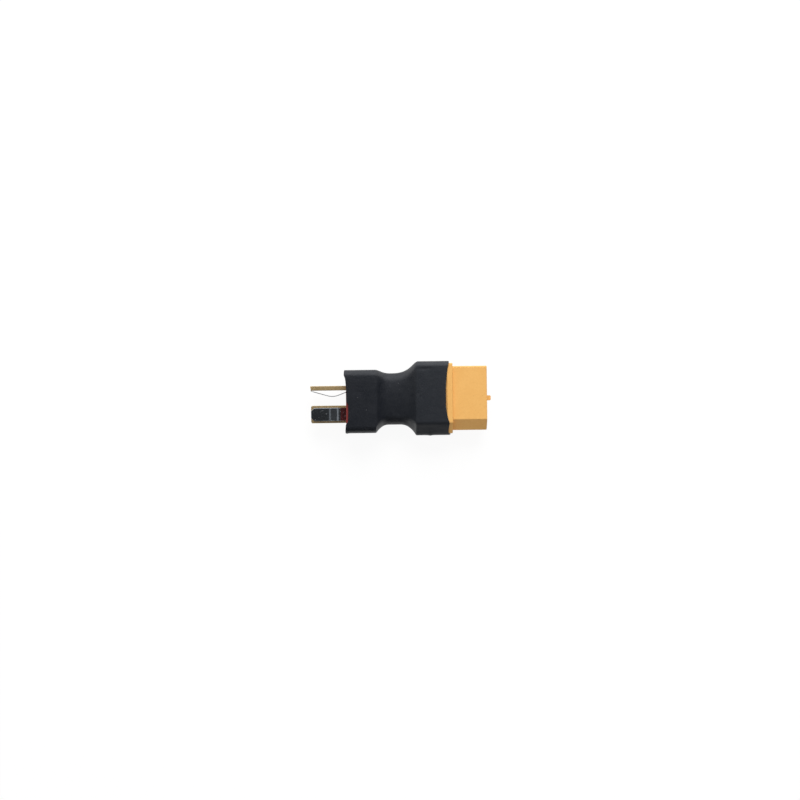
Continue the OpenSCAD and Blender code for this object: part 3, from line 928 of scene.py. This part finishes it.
    def socket_edge(self, p: Point2) -> float:
        """Where the socket end lies for a point of its section."""
        far = p[0] < 0
        half = self.rear[0] / 2 - self.key[0] if far else self.rear[0] / 2
        drawn = self.socket_draw * (1 - clamp01(abs(p[0]) / half) ** self.end_power)
        bow = self.side_bow(p)
        side = -self.near_side_draw * bow
        if far:
            side = self.far_side_reach * bow**6 - self.far_flat_draw * self.flat_bow(p)
        return self.stations.collar_back_x + self.collar_lap - drawn + side

    def middle_stations(self) -> list[float]:
        """Places along X between the two end zones, finer where the shoulders begin."""
        at = self.stations
        marks = [at.blade_back_x - self.blade_zone, at.blade_back_x - 0.35, at.blade_back_x + at.fit_gap,
                 at.blade_back_x + 0.4, at.socket_back_x - 0.4, at.socket_back_x - at.fit_gap,
                 at.socket_back_x + 0.35, at.collar_back_x - 2 * self.socket_draw]
        steps = [self.ring_step, 0.09, 0.06, self.ring_step, 0.06, 0.09, self.ring_step]
        places: list[float] = []
        for a, b, step in zip(marks, marks[1:], steps):
            parts = max(1, round((b - a) / step))
            places += [mix(a, b, k / parts) for k in range(parts)]
        return places[1:]

    def rings(self, inside: bool) -> list[list[Point3]]:
        """All rings of one skin, from the blade end to the socket end."""
        sections = self.sections(inside)
        count = range(len(sections["neck"]))
        blade_zone_x = self.stations.blade_back_x - self.blade_zone
        socket_zone_x = self.stations.collar_back_x - 2 * self.socket_draw
        shares = [i / self.end_rings for i in range(self.end_rings + 1)]
        rings = []
        for t in shares:
            xs = [mix(self.blade_edge(sections["blade"][j]), blade_zone_x, t) for j in count]
            rings.append([self.place(sections, xs[j], j, inside) for j in count])
        for x in self.middle_stations():
            rings.append([self.place(sections, x, j, inside) for j in count])
        for t in shares:
            xs = [mix(socket_zone_x, self.socket_edge(sections["rear"][j]), t) for j in count]
            rings.append([self.place(sections, xs[j], j, inside) for j in count])
        return rings

    def marked(self, p: Point3) -> Point3:
        """Press the marks into a point of the outer skin."""
        for mark in self.marks:
            p = mark.press(p)
        return p

    def rim(self, outer: list[Point3], inner: list[Point3], outward: float) -> list[list[Point3]]:
        """Rings of the cut edge, which is rounded a little on the outside.

        Args:
            outer: The outer skin's last ring.
            inner: The inner skin's last ring.
            outward: 1 where the end points to +X, -1 where it points to -X.

        Returns:
            The rings from the outer skin towards the inner one.
        """
        share = self.rim_round / self.wall
        rings = []
        for i in range(self.rim_steps + 1):
            a = math.pi / 2 * i / self.rim_steps
            inwards, back = share * (1 - math.cos(a)), self.rim_round * (1 - math.sin(a))
            rings.append([
                (mix(o[0], n[0], inwards) - outward * back, mix(o[1], n[1], inwards), mix(o[2], n[2], inwards))
                for o, n in zip(outer, inner)
            ])
        return rings

    def build(self) -> None:
        """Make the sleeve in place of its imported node."""
        outer = [[self.marked(p) for p in ring] for ring in self.rings(False)]
        inner = self.rings(True)
        blade_rim = self.rim(outer[0], inner[0], -1.0)
        socket_rim = self.rim(outer[-1], inner[-1], 1.0)
        loops = [*reversed(blade_rim), *outer[1:-1], *socket_rim, *reversed(inner)]
        n = len(loops[0])
        points = [(x, y, z + self.stations.axis_z) for ring in loops for x, y, z in ring]
        faces: list[tuple[int, ...]] = []
        for i in range(len(loops)):
            following = (i + 1) % len(loops)
            for j in range(n):
                k = (j + 1) % n
                faces.append((i * n + j, i * n + k, following * n + k, following * n + j))
        piece = new_piece("shrunk_sleeve", points, faces)
        dress(piece, SHRUNK_TUBE.material())
        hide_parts("shrink_sleeve")
        log.info("shrunk sleeve: %d rings of %d points", len(loops), n)


# The studio


@dataclass(frozen=True)
class Softbox:
    """A large square lamp above one side of the adapter, which a pale card stands for in reflections."""

    name: str
    tilt: float
    heading: float
    distance: float
    side: float
    level: float

    def build(self, target: Vector) -> None:
        """Hang the lamp so that it faces the target.

        Args:
            target: The point that it lights, in metres.
        """
        tilt, heading = math.radians(self.tilt), math.radians(self.heading)
        direction = Vector((math.sin(tilt) * math.cos(heading), math.sin(tilt) * math.sin(heading), math.cos(tilt)))
        data = bpy.data.lights.new(self.name, "AREA")
        data.shape = "SQUARE"
        data.size = self.side * MM
        data.energy = self.level * (math.pi * self.distance * MM) ** 2
        lamp = bpy.data.objects.new(self.name, data)
        lamp.location = target + direction * self.distance * MM
        lamp.rotation_euler = direction.to_track_quat("Z", "Y").to_euler()
        lamp.visible_glossy = False
        bpy.context.scene.collection.objects.link(lamp)


@dataclass(frozen=True)
class Card:
    """A plain rectangle, level or upright, that only polished and satin surfaces see."""

    name: str
    low: Point3
    high: Point3
    tone: float = 0.03

    def build(self) -> None:
        """Hang the card where no camera or lamp sees it."""
        material = bpy.data.materials.new(self.name)
        material.use_nodes = True
        tree = material.node_tree
        tree.nodes.clear()
        tone = tree.nodes.new("ShaderNodeEmission")
        tone.inputs["Strength"].default_value = self.tone
        output = tree.nodes.new("ShaderNodeOutputMaterial")
        tree.links.new(tone.outputs[0], output.inputs["Surface"])
        card = stage_plane(self.name, self.low, self.high)
        card.data.materials.append(material)
        card.visible_camera = False
        card.visible_diffuse = False
        card.visible_shadow = False


def stage_plane(name: str, low: Point3, high: Point3) -> bpy.types.Object:
    """Make a rectangle that belongs to the studio and not to the adapter.

    Args:
        name: Its name.
        low: One corner in millimetres.
        high: The opposite corner, which shares one coordinate with the first.

    Returns:
        The new object.
    """
    across, along = (axis for axis in range(3) if low[axis] != high[axis])
    corners = []
    for a, b in ((low, low), (high, low), (high, high), (low, high)):
        corner = [value * MM for value in low]
        corner[across], corner[along] = a[across] * MM, b[along] * MM
        corners.append(corner)
    mesh = bpy.data.meshes.new(name)
    mesh.from_pydata(corners, [], [(0, 1, 2, 3)])
    plane = bpy.data.objects.new(name, mesh)
    bpy.context.scene.collection.objects.link(plane)
    return plane


@dataclass
class Studio:
    """Pale floor, soft lamps, white surroundings and the camera above the adapter."""

    camera_height: float = 225.4
    scale_height: float = 8.4
    mm_per_pixel: float = 0.2261
    pixels: int = 800
    roll: float = 0.7
    shift: Point2 = (0.13, 0.26)
    floor_side: float = 3000.0
    floor_white: float = 0.92
    floor_shade: float = 0.1
    floor_bounce: float = 0.75
    ambient: float = 0.42
    lamps: tuple[Softbox, ...] = (Softbox("key softbox", 52, 82, 600, 440, 1.1),)
    cards: tuple[Card, ...] = (
        Card("overhead_card_1", (-420.0, -260.0, 260.0), (-128.0, 50.0, 260.0), 0.045),
        Card("overhead_strip_1", (-128.0, -260.0, 260.0), (-102.0, 50.0, 260.0), 0.36),
        Card("overhead_card_2", (-102.0, -260.0, 260.0), (66.0, 50.0, 260.0), 0.07),
        Card("overhead_strip_2", (66.0, -260.0, 260.0), (94.0, 50.0, 260.0), 0.5),
        Card("overhead_card_3", (94.0, -260.0, 260.0), (420.0, 50.0, 260.0), 0.045),
        Card("near_card_0", (-420.0, 50.0, 260.0), (420.0, 110.0, 260.0), 0.36),
        Card("near_card_1", (-420.0, 110.0, 260.0), (420.0, 190.0, 260.0), 0.6),
        Card("near_card_2", (-420.0, 190.0, 260.0), (420.0, 320.0, 260.0), 0.85),
        Card("near_pale_card", (-420.0, 330.0, 10.0), (420.0, 330.0, 250.0), 1.6),
        Card("far_card", (-420.0, -260.0, 0.0), (420.0, -260.0, 260.0)),
        Card("left_card", (-420.0, -260.0, 0.0), (-420.0, 110.0, 260.0)),
        Card("right_card", (420.0, -260.0, 0.0), (420.0, 110.0, 260.0)),
    )

    def seen_directly(self, tree: bpy.types.NodeTree) -> bpy.types.NodeSocket:
        """1 for rays from the camera, from a mirror or through glass, and 0 for the light between surfaces."""
        path = tree.nodes.new("ShaderNodeLightPath")
        total = path.outputs["Is Camera Ray"]
        for name in ("Is Glossy Ray", "Is Transmission Ray"):
            node = tree.nodes.new("ShaderNodeMath")
            node.operation = "MAXIMUM"
            tree.links.new(total, node.inputs[0])
            tree.links.new(path.outputs[name], node.inputs[1])
            total = node.outputs["Value"]
        return total

    def floor(self) -> None:
        """Lay the floor: white where it is seen, with the adapter's soft shadow."""
        side = self.floor_side / 2
        plane = stage_plane("floor", (-side, -side, -0.01), (side, side, -0.01))
        material = bpy.data.materials.new("pale floor")
        material.use_nodes = True
        tree = material.node_tree
        tree.nodes.clear()
        white = tree.nodes.new("ShaderNodeEmission")
        white.inputs["Strength"].default_value = self.floor_white
        shade = tree.nodes.new("ShaderNodeBsdfDiffuse")
        shade.inputs["Color"].default_value = (self.floor_shade,) * 3 + (1.0,)
        bounce = tree.nodes.new("ShaderNodeBsdfDiffuse")
        bounce.inputs["Color"].default_value = (self.floor_bounce,) * 3 + (1.0,)
        seen = tree.nodes.new("ShaderNodeAddShader")
        chosen = tree.nodes.new("ShaderNodeMixShader")
        output = tree.nodes.new("ShaderNodeOutputMaterial")
        tree.links.new(white.outputs[0], seen.inputs[0])
        tree.links.new(shade.outputs[0], seen.inputs[1])
        tree.links.new(self.seen_directly(tree), chosen.inputs[0])
        tree.links.new(bounce.outputs[0], chosen.inputs[1])
        tree.links.new(seen.outputs[0], chosen.inputs[2])
        tree.links.new(chosen.outputs[0], output.inputs["Surface"])
        plane.data.materials.append(material)

    def surroundings(self) -> None:
        """Make the world white where it is seen or mirrored, and a plain soft light elsewhere."""
        world = bpy.data.worlds.new("white surroundings")
        world.use_nodes = True
        tree = world.node_tree
        tree.nodes.clear()
        white = tree.nodes.new("ShaderNodeBackground")
        soft = tree.nodes.new("ShaderNodeBackground")
        soft.inputs["Strength"].default_value = self.ambient
        for background in (white, soft):
            background.inputs["Color"].default_value = (1.0, 1.0, 1.0, 1.0)
        chosen = tree.nodes.new("ShaderNodeMixShader")
        output = tree.nodes.new("ShaderNodeOutputWorld")
        tree.links.new(self.seen_directly(tree), chosen.inputs[0])
        tree.links.new(soft.outputs[0], chosen.inputs[1])
        tree.links.new(white.outputs[0], chosen.inputs[2])
        tree.links.new(chosen.outputs[0], output.inputs["Surface"])
        bpy.context.scene.world = world

    def camera(self) -> None:
        """Hang the camera straight above the adapter, as far away and as far turned as the photograph's."""
        data = bpy.data.cameras.new("camera")
        half_width = self.mm_per_pixel * self.pixels / 2
        data.sensor_width = 36.0
        data.lens = data.sensor_width / 2 * (self.camera_height - self.scale_height) / half_width
        data.clip_start = 1 * MM
        data.clip_end = 5.0
        camera = bpy.data.objects.new("camera", data)
        turn = math.radians(self.roll)
        right, up = Vector((math.cos(turn), -math.sin(turn), 0)), Vector((math.sin(turn), math.cos(turn), 0))
        camera.location = -(right * self.shift[0] + up * self.shift[1]) * MM
        camera.location.z = self.camera_height * MM
        camera.rotation_euler = (0, 0, -turn)
        bpy.context.scene.collection.objects.link(camera)
        bpy.context.scene.camera = camera

    def build(self) -> None:
        """Set up the whole studio."""
        self.floor()
        self.surroundings()
        for card in self.cards:
            card.build()
        for lamp in self.lamps:
            lamp.build(Vector((0, 0, self.scale_height / 2 * MM)))
        self.camera()
        bpy.context.scene.view_settings.view_transform = "Standard"
        log.info("studio: floor, %d lamps, %d cards and the camera", len(self.lamps), len(self.cards))


def main() -> None:
    """Dress the adapter piece by piece and set up the studio round it."""
    logging.basicConfig(level=logging.INFO, format="%(name)s: %(message)s")
    stations = Stations.from_frame()
    SocketPlug().build()
    BladePlug(stations).build()
    SolderJoints().build()
    ShrunkSleeve(stations).build()
    Studio().build()


if __name__ == "__main__":
    main()
